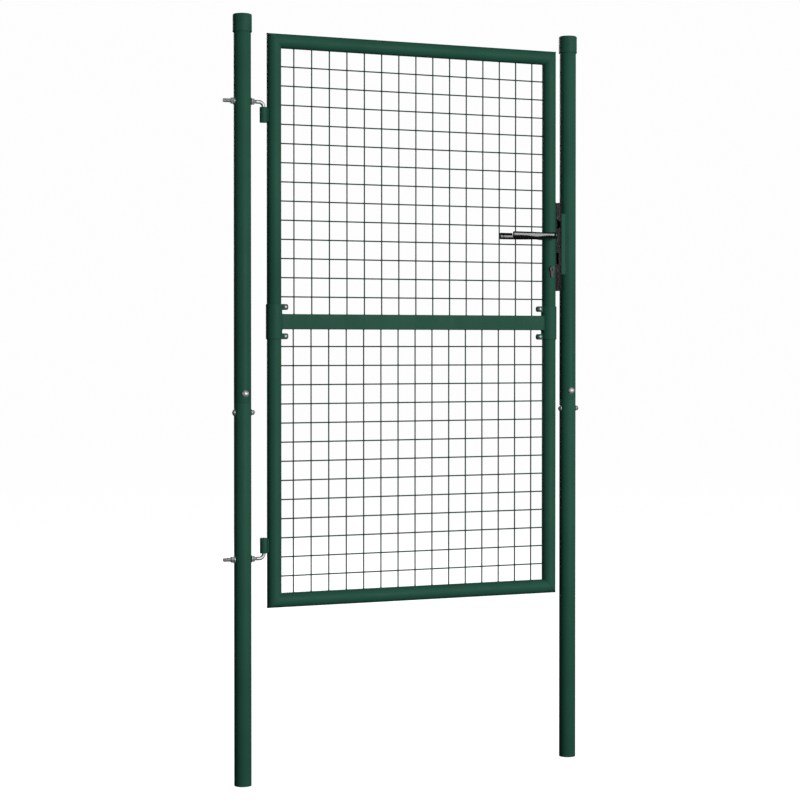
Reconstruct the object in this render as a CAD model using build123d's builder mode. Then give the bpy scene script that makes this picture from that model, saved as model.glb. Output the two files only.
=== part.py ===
from build123d import *

import os
from math import asin, cos, radians, sin

os.makedirs("parts", exist_ok=True)

# A single garden gate: two round posts, a tube-framed leaf with two welded mesh
# panels, hooked hinges on the left post and a lever lock in the right stile.
# Millimetres. X runs from the hinge post to the latch post, -Y is the front and
# +Z is up. The origin is the centre of the hinge post's foot.

# ---------------------------------------------------------------- posts
post_radius = 22.5
post_wall = 1.5
post_spacing = 955.0
overall_height = 2000.0
post_joint_z = 993.5
sleeve_length = 150.0
sleeve_clearance = 0.1
cap_radius = 25.25
cap_height = 47.0
cap_top = 3.0
cap_edge_radius = 4.0
cap_rim_chamfer = 1.2

# ---------------------------------------------------------------- leaf frame
frame_radius = 19.0
frame_wall = 1.5
hinge_stile_x = 87.0
latch_stile_x = 896.0
bottom_rail_z = 477.0
top_rail_z = 1936.0
mid_rail_z = 1205.0
mid_rail_height = 40.0
mid_rail_depth = 20.0
mid_rail_wall = 1.5
mid_rail_corner = 2.0
spigot_length = 150.0

# ---------------------------------------------------------------- mesh panels
wire_radius = 1.75
wire_pitch = 50.0
wire_setdown = 0.5
upper_mesh_x = 142.0
lower_mesh_x = 141.0
vertical_wires = 15
lower_mesh_z = 540.0
upper_mesh_z = 1270.0
horizontal_wires = 13

# ---------------------------------------------------------------- hinges
hinge_axis_x = 58.0
hook_radius = 5.0
hook_bend_radius = 12.5
hook_tail = 52.5
upper_hook_z = 1775.0
lower_hook_z = 588.5
knuckle_radius = 10.0
knuckle_length = 40.0
hinge_clearance = 0.08
hinge_end_play = 0.5
hook_nut_flats = 15.0
hook_nut_height = 9.5
flange_radius = 10.0
flange_rim = 1.6

# ---------------------------------------------------------------- post bolts
splice_bolt_radius = 4.0
front_bolt_z = 1018.0
side_bolt_z = 969.0
splice_head_radius = 9.0
splice_head_height = 5.5

# ---------------------------------------------------------------- rail clamps
clamp_length = 92.0
clamp_wall = 2.5
clamp_gap = 6.0
clamp_ear_reach = 38.0
clamp_ear_height = 15.5
clamp_bolt_reach = 29.5
clamp_bolt_radius = 3.0

# ---------------------------------------------------------------- lock
spindle_z = 1445.0
cylinder_z = 1354.0
spindle_size = 8.0
spindle_half_length = 41.0
forend_low_z = 1293.5
forend_high_z = 1538.5
forend_width = 22.0
forend_seat = 15.5
forend_thickness = 3.0
case_low_z = 1320.0
case_high_z = 1506.0
case_back = 15.5
case_half = 6.5
case_sheet = 1.5
bolt_half = 4.7
latch_low_z = 1470.5
latch_high_z = 1488.5
latch_tip = 33.0
dead_low_z = 1370.0
dead_high_z = 1398.0
cylinder_half_length = 22.0
plug_radius = 6.5
running_clearance = 0.05

# ---------------------------------------------------------------- levers
lever_reach = 132.0
lever_inner_y = 36.5
lever_thickness = 9.5
lever_hub_radius = 9.6
lever_tip_half = 9.0
lever_belly = 12.0
lever_belly_x = -63.0
lever_neck_radius = 8.2
lever_neck_end = 19.8

# ---------------------------------------------------------------- strike
strike_face_x = post_spacing - 31.4
strike_thickness = 2.7
strike_width = 35.0
strike_low_z = 1294.0
strike_high_z = 1538.0
strike_box_low_z = 1339.5
strike_box_high_z = 1507.0
strike_box_sheet = 1.8
strike_opening_half = 6.5

# derived places
cap_bottom_z = overall_height - cap_height
post_top_z = overall_height - cap_top
leaf_rail_inner_low = bottom_rail_z + frame_radius
leaf_rail_inner_high = top_rail_z - frame_radius
mid_rail_low = mid_rail_z - mid_rail_height / 2
mid_rail_high = mid_rail_z + mid_rail_height / 2
ear_offset_z = (clamp_length - clamp_ear_height) / 2


def save(piece, name):
    """Label a finished piece and write it as its own STEP."""
    piece.part.label = name
    export_step(piece.part, f"parts/{name}.step")


def along_x(x, y, z):
    """A plane at the point whose normal points along +X."""
    return Plane(origin=(x, y, z), x_dir=(0, 1, 0), z_dir=(1, 0, 0))


def along_y(x, y, z):
    """A plane at the point whose normal points along +Y, with its local Y up."""
    return Plane(origin=(x, y, z), x_dir=(-1, 0, 0), z_dir=(0, 1, 0))


def front_view(x, z):
    """A plane through y = 0 that is read from the front: local X is +X and local Y is up."""
    return Plane(origin=(x, 0, z), x_dir=(1, 0, 0), z_dir=(0, -1, 0))


def cut_round(plane, radius, reach):
    """Drill right through the current part along the plane's normal, to both sides."""
    with BuildSketch(plane) as drill:
        Circle(radius)
    extrude(drill.sketch, amount=reach, both=True, mode=Mode.SUBTRACT)


def add_box(x, y, z, mode=Mode.ADD):
    """Add or cut a block between three (low, high) pairs."""
    with BuildSketch(Plane.XY.offset(z[0])) as block:
        with Locations(((x[0] + x[1]) / 2, (y[0] + y[1]) / 2)):
            Rectangle(x[1] - x[0], y[1] - y[0])
    extrude(block.sketch, amount=z[1] - z[0], mode=mode)


def add_ring(plane, outer, inner, thickness):
    """Add a flat ring that starts on the plane."""
    with BuildSketch(plane) as ring:
        Circle(outer)
        Circle(inner, mode=Mode.SUBTRACT)
    extrude(ring.sketch, amount=thickness)


def add_hex_nut(plane, across_flats, bore, thickness, flange=0.0):
    """Add a chamfered hexagon nut that starts on the plane, with a flange at its seat if one is given."""
    side = Plane(origin=plane.origin, x_dir=plane.z_dir, z_dir=plane.x_dir)
    turning_axis = Axis(plane.origin, plane.z_dir)
    crown = across_flats / 2 * 0.965
    corner = across_flats * 0.6
    fall = (corner - crown) * 0.577
    with BuildPart() as nut:
        with BuildSketch(plane):
            RegularPolygon(across_flats / 2, 6, major_radius=False)
        extrude(amount=thickness)
        with BuildSketch(side):
            with BuildLine():
                Polyline(
                    (0, 0),
                    (0, crown),
                    (fall, corner),
                    (thickness - fall, corner),
                    (thickness, crown),
                    (thickness, 0),
                    close=True,
                )
            make_face()
        revolve(axis=turning_axis, mode=Mode.INTERSECT)
        if flange:
            with BuildSketch(side):
                with BuildLine():
                    Polyline(
                        (0, 0),
                        (0, flange),
                        (flange_rim, flange),
                        (flange_rim + (flange - crown) * 0.78, crown),
                        (flange_rim + (flange - crown) * 0.78, 0),
                        close=True,
                    )
                make_face()
            revolve(axis=turning_axis)
        cut_round(plane, bore, thickness + 1)
    add(nut.part)


def add_domed_bolt(plane, shank, length, head, head_height, crown):
    """Add a domed bolt turned about the plane's local X axis.

    The underside of its head is at the plane's origin and the shank runs along +X.
    The head's side is straight at first and the last part, crown, is a piece of a sphere.
    """
    lead = shank * 0.25
    sphere = (crown**2 + head**2) / (2 * crown)
    half_turn = asin(head / sphere) / 2
    with BuildSketch(plane) as half_section:
        with BuildLine():
            Polyline(
                (-head_height, 0),
                (length, 0),
                (length, shank - lead),
                (length - lead, shank),
                (0, shank),
                (0, head),
                (crown - head_height, head),
            )
            ThreePointArc(
                (crown - head_height, head),
                (sphere - head_height - sphere * cos(half_turn), sphere * sin(half_turn)),
                (-head_height, 0),
            )
        make_face()
    revolve(half_section.sketch, axis=Axis(plane.origin, plane.x_dir))


def make_tube(name, x, z_low, z_high, radius, wall, holes=()):
    """Make an upright tube. holes lists (direction, z, radius) through both walls."""
    with BuildPart() as tube:
        add_ring(Plane((x, 0, z_low)), radius, radius - wall, z_high - z_low)
        for direction, z, hole_radius in holes:
            plane = along_x(x, 0, z) if direction == "X" else along_y(x, 0, z)
            cut_round(plane, hole_radius, radius + 5)
    save(tube, name)


# ================================================================ posts
splice_hole = splice_bolt_radius + 0.25
hook_hole = hook_radius + 0.25
for post, post_x, hook_zs in (
    ("hinge_post", 0.0, (lower_hook_z, upper_hook_z)),
    ("latch_post", post_spacing, (None, None)),
):
    lower_holes = [("X", side_bolt_z, splice_hole)]
    upper_holes = [("Y", front_bolt_z, splice_hole)]
    if hook_zs[0]:
        lower_holes.append(("X", hook_zs[0], hook_hole))
        upper_holes.append(("X", hook_zs[1], hook_hole))
    make_tube(f"{post}_lower_tube", post_x, 0, post_joint_z, post_radius, post_wall, lower_holes)
    make_tube(
        f"{post}_upper_tube", post_x, post_joint_z, post_top_z, post_radius, post_wall, upper_holes
    )
    make_tube(
        f"{post}_sleeve",
        post_x,
        post_joint_z - sleeve_length / 2,
        post_joint_z + sleeve_length / 2,
        post_radius - post_wall - sleeve_clearance,
        post_wall,
        [("X", side_bolt_z, splice_hole), ("Y", front_bolt_z, splice_hole)],
    )

    # push-over cap
    with BuildPart() as cap:
        with BuildSketch(Plane((post_x, 0, cap_bottom_z))):
            Circle(cap_radius)
        extrude(amount=cap_height)
        rims = cap.edges().filter_by(GeomType.CIRCLE).sort_by(Axis.Z)
        fillet(rims[-1], cap_edge_radius)
        chamfer(rims[0], cap_rim_chamfer)
        with BuildSketch(Plane((post_x, 0, cap_bottom_z))):
            Circle(post_radius + sleeve_clearance)
        extrude(amount=cap_height - cap_top, mode=Mode.SUBTRACT)
    save(cap, f"{post}_cap")

# domed bolts through each post, one from the front and one from the left
splice_washer = 1.6
splice_nut = 6.5
splice_length = 2 * post_radius + splice_washer + splice_nut + 2.5
splice_places = []
for post_x in (0.0, post_spacing):
    splice_places.append(
        Plane((post_x, -post_radius, front_bolt_z), x_dir=(0, 1, 0), z_dir=(1, 0, 0))
    )
    splice_places.append(
        Plane((post_x - post_radius, 0, side_bolt_z), x_dir=(1, 0, 0), z_dir=(0, 1, 0))
    )

with BuildPart() as splice_bolts:
    for place in splice_places:
        add_domed_bolt(
            place,
            splice_bolt_radius,
            splice_length,
            splice_head_radius,
            splice_head_height,
            splice_head_height - 1.0,
        )
save(splice_bolts, "post_splice_bolts")


def beyond(place, distance):
    """The plane square to a bolt's axis, at a distance along it from the bolt's head."""
    return Plane(origin=place.origin + place.x_dir * distance, z_dir=place.x_dir)


with BuildPart() as splice_washers:
    for place in splice_places:
        add_ring(beyond(place, 2 * post_radius), 8.5, splice_bolt_radius + 0.2, splice_washer)
save(splice_washers, "post_splice_washers")

with BuildPart() as splice_nuts:
    for place in splice_places:
        nut_plane = beyond(place, 2 * post_radius + splice_washer)
        add_hex_nut(nut_plane, 13.0, splice_bolt_radius + 0.05, splice_nut)
save(splice_nuts, "post_splice_nuts")

# ================================================================ hinges

def hinge_hook(name, rod_z, turn):
    """A bent rod through the post. turn is -1 for a pin that points down and +1 for up."""
    bend_x = hinge_axis_x - hook_bend_radius
    bend_z = rod_z + turn * hook_bend_radius
    pin_end = bend_z + turn * (knuckle_length + hinge_end_play - 1.0)
    middle = hook_bend_radius * sin(radians(45))
    with BuildPart() as hook:
        with BuildLine() as route:
            Line((-hook_tail, 0, rod_z), (bend_x, 0, rod_z))
            ThreePointArc(
                (bend_x, 0, rod_z),
                (bend_x + middle, 0, bend_z - turn * middle),
                (hinge_axis_x, 0, bend_z),
            )
            Line((hinge_axis_x, 0, bend_z), (hinge_axis_x, 0, pin_end))
        with BuildSketch(along_x(-hook_tail, 0, rod_z)):
            Circle(hook_radius)
        sweep(path=route.wires()[0])
        tips = hook.edges().filter_by(GeomType.CIRCLE).sort_by(Axis.X)
        chamfer(tips[0], 1.0)
        ends = hook.faces().filter_by(Axis.Z).sort_by(Axis.Z)
        end_face = ends[-1] if turn > 0 else ends[0]
        chamfer(end_face.edges(), 1.0)
    save(hook, name)


hinge_hook("upper_hinge_hook", upper_hook_z, -1)
hinge_hook("lower_hinge_hook", lower_hook_z, 1)

# flange nuts that clamp each hook to the post from both sides
with BuildPart() as hook_nuts:
    for rod_z in (upper_hook_z, lower_hook_z):
        for side in (-1, 1):
            seat = Plane(origin=(side * post_radius, 0, rod_z), x_dir=(0, 1, 0), z_dir=(side, 0, 0))
            add_hex_nut(seat, hook_nut_flats, hook_radius + 0.05, hook_nut_height, flange_radius)
save(hook_nuts, "hinge_hook_nuts")


def hinge_knuckle(name, z_low):
    """A short tube beside the stile, with the weld web that joins it to the stile."""
    with BuildPart() as knuckle:
        with BuildSketch(Plane((hinge_axis_x, 0, z_low))):
            Circle(knuckle_radius)
        extrude(amount=knuckle_length)
        add_box((hinge_axis_x + 5, hinge_axis_x + 15), (-5, 5), (z_low + 2, z_low + knuckle_length - 2))
        cut_round(Plane((hinge_stile_x, 0, z_low)), frame_radius, knuckle_length)
        cut_round(Plane((hinge_axis_x, 0, z_low)), hook_radius + hinge_clearance, knuckle_length)
    save(knuckle, name)


upper_knuckle_low = upper_hook_z - hook_bend_radius - hinge_end_play - knuckle_length
lower_knuckle_low = lower_hook_z + hook_bend_radius + hinge_end_play
hinge_knuckle("upper_hinge_knuckle", upper_knuckle_low)
hinge_knuckle("lower_hinge_knuckle", lower_knuckle_low)

# ================================================================ leaf frame


def mitre(x, z, toward_x, toward_z):
    """The 45 degree cut at a corner of the leaf, whose normal points into the rail."""
    return Plane(origin=(x, 0, z), z_dir=(toward_x, 0, toward_z))


top_left = mitre(hinge_stile_x, top_rail_z, 1, 1)
top_right = mitre(latch_stile_x, top_rail_z, -1, 1)
bottom_left = mitre(hinge_stile_x, bottom_rail_z, 1, -1)
bottom_right = mitre(latch_stile_x, bottom_rail_z, -1, -1)


def leaf_rail(name, z, left, right):
    """A round rail between the two stiles, mitred at both ends."""
    with BuildPart() as rail:
        start = hinge_stile_x - frame_radius - 1
        end = latch_stile_x + frame_radius + 1
        add_ring(along_x(start, 0, z), frame_radius, frame_radius - frame_wall, end - start)
        split(bisect_by=left, keep=Keep.TOP)
        split(bisect_by=right, keep=Keep.TOP)
    save(rail, name)


leaf_rail("top_rail", top_rail_z, top_left, top_right)
leaf_rail("bottom_rail", bottom_rail_z, bottom_left, bottom_right)


def cylinder_profile(clearance):
    """Draw the profile cylinder's outline: a round head over a narrow stem."""
    head = 8.5 + clearance
    stem = 5.0 + clearance
    stem_drop = 19.5
    Circle(head)
    with Locations((0, -stem_drop / 2)):
        Rectangle(2 * stem, stem_drop)
    with Locations((0, -stem_drop)):
        Circle(stem)


def leaf_stile(name, x, z_low, z_high, corner):
    """One half of a stile, from the mid joint to its mitred corner."""
    with BuildPart() as stile:
        add_ring(Plane((x, 0, z_low)), frame_radius, frame_radius - frame_wall, z_high - z_low)
        split(bisect_by=corner, keep=Keep.BOTTOM)
        if name == "upper_latch_stile":
            reach = frame_radius + 2
            seat = (x + forend_seat, x + reach)
            add_box(seat, (-reach, reach), (forend_low_z - 0.2, forend_high_z + 0.2), Mode.SUBTRACT)
            cut_round(along_y(x, 0, spindle_z), 6.5, reach)
            with BuildSketch(front_view(x, cylinder_z)):
                cylinder_profile(0.4)
            extrude(amount=reach, both=True, mode=Mode.SUBTRACT)
    save(stile, name)


leaf_top = top_rail_z + frame_radius + 1
leaf_bottom = bottom_rail_z - frame_radius - 1
leaf_stile("upper_hinge_stile", hinge_stile_x, mid_rail_z, leaf_top, top_left)
leaf_stile("upper_latch_stile", latch_stile_x, mid_rail_z, leaf_top, top_right)
leaf_stile("lower_hinge_stile", hinge_stile_x, leaf_bottom, mid_rail_z, bottom_left)
leaf_stile("lower_latch_stile", latch_stile_x, leaf_bottom, mid_rail_z, bottom_right)

# spigots inside the stiles, across the joint between the leaf's two halves
for spigot, stile_x in (("hinge_stile_spigot", hinge_stile_x), ("latch_stile_spigot", latch_stile_x)):
    make_tube(
        spigot,
        stile_x,
        mid_rail_z - spigot_length / 2,
        mid_rail_z + spigot_length / 2,
        frame_radius - frame_wall - sleeve_clearance,
        frame_wall,
    )

# flat mid rail, coped to the clamps
clamp_radius = frame_radius + clamp_wall
with BuildPart() as mid_rail:
    with BuildSketch(along_x(hinge_stile_x, 0, mid_rail_z)):
        RectangleRounded(mid_rail_depth, mid_rail_height, mid_rail_corner)
        Rectangle(
            mid_rail_depth - 2 * mid_rail_wall,
            mid_rail_height - 2 * mid_rail_wall,
            mode=Mode.SUBTRACT,
        )
    extrude(amount=latch_stile_x - hinge_stile_x)
    for stile_x in (hinge_stile_x, latch_stile_x):
        cut_round(Plane((stile_x, 0, mid_rail_z)), clamp_radius, mid_rail_height)
save(mid_rail, "mid_rail")


def rail_clamp(name, stile_x, side):
    """A split sleeve round the stile with two pairs of bolted ears. side points into the leaf."""
    low = mid_rail_z - clamp_length / 2
    ear_mid = stile_x + side * (frame_radius + clamp_ear_reach) / 2
    bolt_x = stile_x + side * clamp_bolt_reach
    with BuildPart() as clamp:
        with BuildSketch(Plane((stile_x, 0, low))):
            Circle(clamp_radius)
        extrude(amount=clamp_length)
        chamfer(clamp.edges().filter_by(GeomType.CIRCLE), 1.2)
        for ear_z in (mid_rail_z - ear_offset_z, mid_rail_z + ear_offset_z):
            with BuildPart() as ear:
                with BuildSketch(along_y(ear_mid, 0, ear_z)):
                    RectangleRounded(clamp_ear_reach - frame_radius, clamp_ear_height, 5.5)
                extrude(amount=clamp_gap / 2 + clamp_wall, both=True)
                chamfer(ear.faces().filter_by(Axis.Y).edges(), 0.6)
                root = (stile_x, ear_mid) if side > 0 else (ear_mid, stile_x)
                half_depth = clamp_gap / 2 + clamp_wall
                half_height = clamp_ear_height / 2
                add_box(root, (-half_depth, half_depth), (ear_z - half_height, ear_z + half_height))
        cut_round(Plane((stile_x, 0, mid_rail_z)), frame_radius + 0.03, clamp_length)
        slot = (stile_x, stile_x + 50) if side > 0 else (stile_x - 50, stile_x)
        half_gap = clamp_gap / 2
        add_box(slot, (-half_gap, half_gap), (low - 1, low + clamp_length + 1), Mode.SUBTRACT)
        for ear_z in (mid_rail_z - ear_offset_z, mid_rail_z + ear_offset_z):
            cut_round(along_y(bolt_x, 0, ear_z), clamp_bolt_radius + 0.2, 10)
    save(clamp, name)


rail_clamp("hinge_side_clamp", hinge_stile_x, 1)
rail_clamp("latch_side_clamp", latch_stile_x, -1)

ear_face = clamp_gap / 2 + clamp_wall
clamp_washer = 1.2
clamp_nut = 5.0
clamp_places = []
for clamp_bolt_x in (hinge_stile_x + clamp_bolt_reach, latch_stile_x - clamp_bolt_reach):
    for ear_z in (mid_rail_z - ear_offset_z, mid_rail_z + ear_offset_z):
        clamp_places.append(
            Plane((clamp_bolt_x, -ear_face, ear_z), x_dir=(0, 1, 0), z_dir=(1, 0, 0))
        )

with BuildPart() as clamp_bolts:
    for place in clamp_places:
        bolt_length = 2 * ear_face + clamp_washer + clamp_nut + 1.5
        add_domed_bolt(place, clamp_bolt_radius, bolt_length, 5.5, 4.5, 3.5)
save(clamp_bolts, "clamp_bolts")

with BuildPart() as clamp_washers:
    for place in clamp_places:
        add_ring(beyond(place, 2 * ear_face), 6.0, clamp_bolt_radius + 0.2, clamp_washer)
save(clamp_washers, "clamp_washers")

with BuildPart() as clamp_nuts:
    for place in clamp_places:
        nut_plane = beyond(place, 2 * ear_face + clamp_washer)
        add_hex_nut(nut_plane, 10.0, clamp_bolt_radius + 0.05, clamp_nut)
save(clamp_nuts, "clamp_nuts")

# ================================================================ mesh panels


def mesh_panel(name, first_x, first_z, z_low, z_high, upright_side):
    """A welded mesh panel. upright_side is -1 where the upright wires are in front."""
    offset = wire_radius - wire_setdown / 2
    x_low = hinge_stile_x + frame_radius
    x_high = latch_stile_x - frame_radius
    with BuildPart() as panel:
        with BuildSketch(Plane.XY.offset(z_low)):
            for column in range(vertical_wires):
                with Locations((first_x + column * wire_pitch, upright_side * offset)):
                    Circle(wire_radius)
        extrude(amount=z_high - z_low)
        with BuildSketch(along_x(x_low, 0, 0)):
            for row in range(horizontal_wires):
                with Locations((-upright_side * offset, first_z + row * wire_pitch)):
                    Circle(wire_radius)
        extrude(amount=x_high - x_low)
    save(panel, name)


mesh_panel("upper_mesh", upper_mesh_x, upper_mesh_z, mid_rail_high, leaf_rail_inner_high, -1)
mesh_panel("lower_mesh", lower_mesh_x, lower_mesh_z, leaf_rail_inner_low, mid_rail_low, 1)

# ================================================================ lock, inside the latch stile
lock_x = latch_stile_x
case_wall = case_back - case_sheet
rivet_radius = 2.0
rivet_places = [(-11.0, 1327.0), (-11.0, 1415.0), (-11.0, 1501.0)]
stud_radius = 2.0
stud_x = 8.0
dead_mid_z = (dead_low_z + dead_high_z) / 2
boss_radius = 7.0


def cut_case_openings():
    """Cut the follower's bearing, the cylinder's outline and the rivet holes."""
    cut_round(along_y(lock_x, 0, spindle_z), boss_radius + running_clearance, 10)
    with BuildSketch(front_view(lock_x, cylinder_z)) as outline:
        cylinder_profile(0.2)
    extrude(outline.sketch, amount=10, both=True, mode=Mode.SUBTRACT)
    for rivet_x, rivet_z in rivet_places:
        cut_round(along_y(lock_x + rivet_x, 0, rivet_z), rivet_radius, 10)


with BuildPart() as lock_case:
    inner_half = case_half - case_sheet
    add_box(
        (lock_x - case_back, lock_x + forend_seat), (-inner_half, case_half), (case_low_z, case_high_z)
    )
    add_box(
        (lock_x - case_wall, lock_x + forend_seat + 1),
        (-case_half, inner_half),
        (case_low_z + case_sheet, case_high_z - case_sheet),
        Mode.SUBTRACT,
    )
    cut_case_openings()
    with BuildSketch(along_y(lock_x + stud_x, -inner_half, dead_mid_z)):
        Circle(stud_radius)
    extrude(amount=2 * inner_half + 0.5)
save(lock_case, "lock_case")

with BuildPart() as lock_cover:
    add_box(
        (lock_x - case_back, lock_x + forend_seat), (-case_half, -inner_half), (case_low_z, case_high_z)
    )
    cut_case_openings()
save(lock_cover, "lock_case_cover")

with BuildPart() as case_rivets:
    for rivet_x, rivet_z in rivet_places:
        with BuildSketch(along_y(lock_x + rivet_x, -case_half, rivet_z)):
            Circle(rivet_radius)
        extrude(amount=2 * case_half)
save(case_rivets, "lock_case_rivets")

# forend plate with its screws, and the tabs they screw into
forend_x = (lock_x + forend_seat, lock_x + forend_seat + forend_thickness)
forend_screw_zs = (forend_low_z + 12.0, forend_high_z - 12.0)
cylinder_screw_z = 1335.0
with BuildPart() as forend:
    with BuildSketch(along_x(forend_x[0], 0, (forend_low_z + forend_high_z) / 2)):
        RectangleRounded(forend_width, forend_high_z - forend_low_z, 3.0)
    extrude(amount=forend_thickness)
    chamfer(forend.faces().sort_by(Axis.X)[-1].edges(), 0.5)
    opening = (-bolt_half - 0.3, bolt_half + 0.3)
    cut_x = (forend_x[0] - 1, forend_x[1] + 1)
    add_box(cut_x, opening, (latch_low_z - 0.3, latch_high_z + 0.3), Mode.SUBTRACT)
    add_box(cut_x, opening, (dead_low_z - 0.3, dead_high_z + 0.3), Mode.SUBTRACT)
    for screw_z, hole, head in (
        (forend_screw_zs[0], 2.1, 4.0),
        (forend_screw_zs[1], 2.1, 4.0),
        (cylinder_screw_z, 2.6, 4.8),
    ):
        with Locations(along_x(forend_x[1], 0, screw_z)):
            CounterSinkHole(hole, head, depth=forend_thickness + 1)
save(forend, "lock_forend")

tab_x = (lock_x + 12.0, lock_x + forend_seat)
with BuildPart() as tabs:
    for screw_z in forend_screw_zs:
        add_box(tab_x, (-7.5, 7.5), (screw_z - 9, screw_z + 9))
        cut_round(along_x(tab_x[0], 0, screw_z), 2.05, 10)
save(tabs, "lock_fixing_tabs")


def add_countersunk_screw(x_head, z, radius, head, length):
    """Add a countersunk screw that points along -X, with its head's face at x_head and a cross slot."""
    sink = head - radius
    with BuildSketch(Plane((x_head, 0, z), x_dir=(-1, 0, 0), z_dir=(0, 1, 0))) as half_section:
        with BuildLine():
            Polyline(
                (0, 0),
                (length, 0),
                (length, radius * 0.6),
                (length - radius * 0.4, radius),
                (sink, radius),
                (0, head),
                close=True,
            )
        make_face()
    revolve(half_section.sketch, axis=Axis((x_head, 0, z), (1, 0, 0)))
    recess = (x_head - 1.4, x_head + 1)
    add_box(recess, (-0.5, 0.5), (z - head * 0.55, z + head * 0.55), Mode.SUBTRACT)
    add_box(recess, (-head * 0.55, head * 0.55), (z - 0.5, z + 0.5), Mode.SUBTRACT)


with BuildPart() as forend_screws:
    for screw_z in forend_screw_zs:
        add_countersunk_screw(forend_x[1], screw_z, 2.0, 3.9, 9.5)
save(forend_screws, "forend_screws")

with BuildPart() as cylinder_screw:
    add_countersunk_screw(forend_x[1], cylinder_screw_z, 2.45, 4.6, 20.0)
save(cylinder_screw, "cylinder_fixing_screw")

# follower: the nut that the spindle turns, with the arm that draws the latch bolt back
arm_angle = 20.0
arm_length = 22.0
arm_tip_radius = 2.9
arm_tip = (arm_length * sin(radians(arm_angle)), arm_length * cos(radians(arm_angle)))
with BuildPart() as follower:
    with BuildSketch(front_view(lock_x, spindle_z)):
        Circle(arm_tip_radius)
        with Locations(arm_tip):
            Circle(arm_tip_radius)
        make_hull()
        Circle(9.0)
    extrude(amount=bolt_half, both=True)
    with BuildSketch(front_view(lock_x, spindle_z)):
        Circle(boss_radius)
    extrude(amount=8.0, both=True)
    with BuildSketch(front_view(lock_x, spindle_z)):
        Rectangle(spindle_size + 0.1, spindle_size + 0.1)
    extrude(amount=10.0, both=True, mode=Mode.SUBTRACT)
save(follower, "follower")

with BuildPart() as spindle:
    half = spindle_size / 2
    add_box(
        (lock_x - half, lock_x + half),
        (-spindle_half_length, spindle_half_length),
        (spindle_z - half, spindle_z + half),
    )
    chamfer(spindle.faces().filter_by(Axis.Y).edges(), 0.8)
save(spindle, "spindle")

# sprung latch bolt: a bevelled head, a lug for the follower's arm and a lug for the spring
with BuildPart() as latch_bolt:
    add_box((lock_x + 1.0, lock_x + latch_tip), (-bolt_half, bolt_half), (latch_low_z, latch_high_z))
    with BuildSketch(Plane((lock_x, 0, latch_low_z))):
        with BuildLine():
            Polyline(
                (latch_tip - 10.0, -bolt_half - 0.01),
                (latch_tip + 0.01, -bolt_half - 0.01),
                (latch_tip + 0.01, bolt_half - 1.5),
                (latch_tip - 1.2, bolt_half - 1.5),
                close=True,
            )
        make_face()
    extrude(amount=latch_high_z - latch_low_z, mode=Mode.SUBTRACT)
    add_box((lock_x + 1.0, lock_x + 3.6), (-3, 3), (latch_low_z - 6.0, latch_low_z))
    add_box((lock_x + 12.0, lock_x + 15.0), (-3, 3), (latch_high_z, latch_high_z + 8.0))
save(latch_bolt, "latch_bolt")

spring_z = latch_high_z + 4.5
spring_coil = 2.4
spring_wire = 0.35
spring_start = -case_wall + spring_wire
spring_end = 12.0 - spring_wire
with BuildPart() as latch_spring:
    spring_length = spring_end - spring_start
    with BuildLine():
        coil = Helix(
            pitch=spring_length / 8,
            height=spring_length,
            radius=spring_coil,
            center=(lock_x + spring_start, 0, spring_z),
            direction=(1, 0, 0),
        )
    with BuildSketch(Plane(origin=coil @ 0, z_dir=coil % 0)):
        Circle(spring_wire)
    sweep(path=coil, is_frenet=True)
save(latch_spring, "latch_spring")

# dead bolt, drawn back, with the slot that runs on the case's stud
dead_tip = forend_seat + forend_thickness - 0.3
dead_throw = 16.0
with BuildPart() as dead_bolt:
    add_box((lock_x - 12.0, lock_x + dead_tip), (-bolt_half, bolt_half), (dead_low_z, dead_high_z))
    with BuildSketch(front_view(lock_x + stud_x - dead_throw / 2, dead_mid_z)):
        SlotCenterToCenter(dead_throw, 2 * stud_radius + 0.6)
    extrude(amount=10, both=True, mode=Mode.SUBTRACT)
    tip_edges = dead_bolt.faces().filter_by(Axis.X).sort_by(Axis.X)[-1].edges()
    chamfer(tip_edges, 0.8)
save(dead_bolt, "dead_bolt")

# profile cylinder: body, two plugs and the cam between them
cam_radius = 13.0
cam_half = 4.6
cam_gap_half = 4.9
with BuildPart() as cylinder_body:
    with BuildSketch(front_view(lock_x, cylinder_z)):
        cylinder_profile(0)
    extrude(amount=cylinder_half_length, both=True)
    chamfer(cylinder_body.faces().filter_by(Axis.Y).edges(), 0.4)
    with BuildSketch(front_view(lock_x, cylinder_z)):
        Circle(plug_radius + running_clearance)
    extrude(amount=cylinder_half_length + 1, both=True, mode=Mode.SUBTRACT)
    add_box(
        (lock_x - 12, lock_x + 12),
        (-cam_gap_half, cam_gap_half),
        (cylinder_z - cam_radius - 0.5, cylinder_z + 12),
        Mode.SUBTRACT,
    )
    cut_round(along_x(lock_x, 0, cylinder_screw_z), 2.5, 10)
save(cylinder_body, "cylinder_body")

for plug_name, plug_side in (("front_cylinder_plug", 1), ("rear_cylinder_plug", -1)):
    plug_start = front_view(lock_x, cylinder_z).offset(plug_side * cam_half)
    with BuildPart() as plug:
        with BuildSketch(plug_start):
            Circle(plug_radius)
        extrude(amount=plug_side * (cylinder_half_length - cam_half))
        face = plug.faces().filter_by(Axis.Y).sort_by(Axis.Y)[0 if plug_side > 0 else -1]
        chamfer(face.edges(), 0.3)
        with BuildSketch(plug_start.offset(plug_side * 2)):
            with Locations((0, -0.6)):
                Rectangle(1.8, 8.6)
            with Locations((0.5, 0.4)):
                Rectangle(2.6, 2.2)
        extrude(amount=plug_side * cylinder_half_length, mode=Mode.SUBTRACT)
    save(plug, plug_name)

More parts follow.
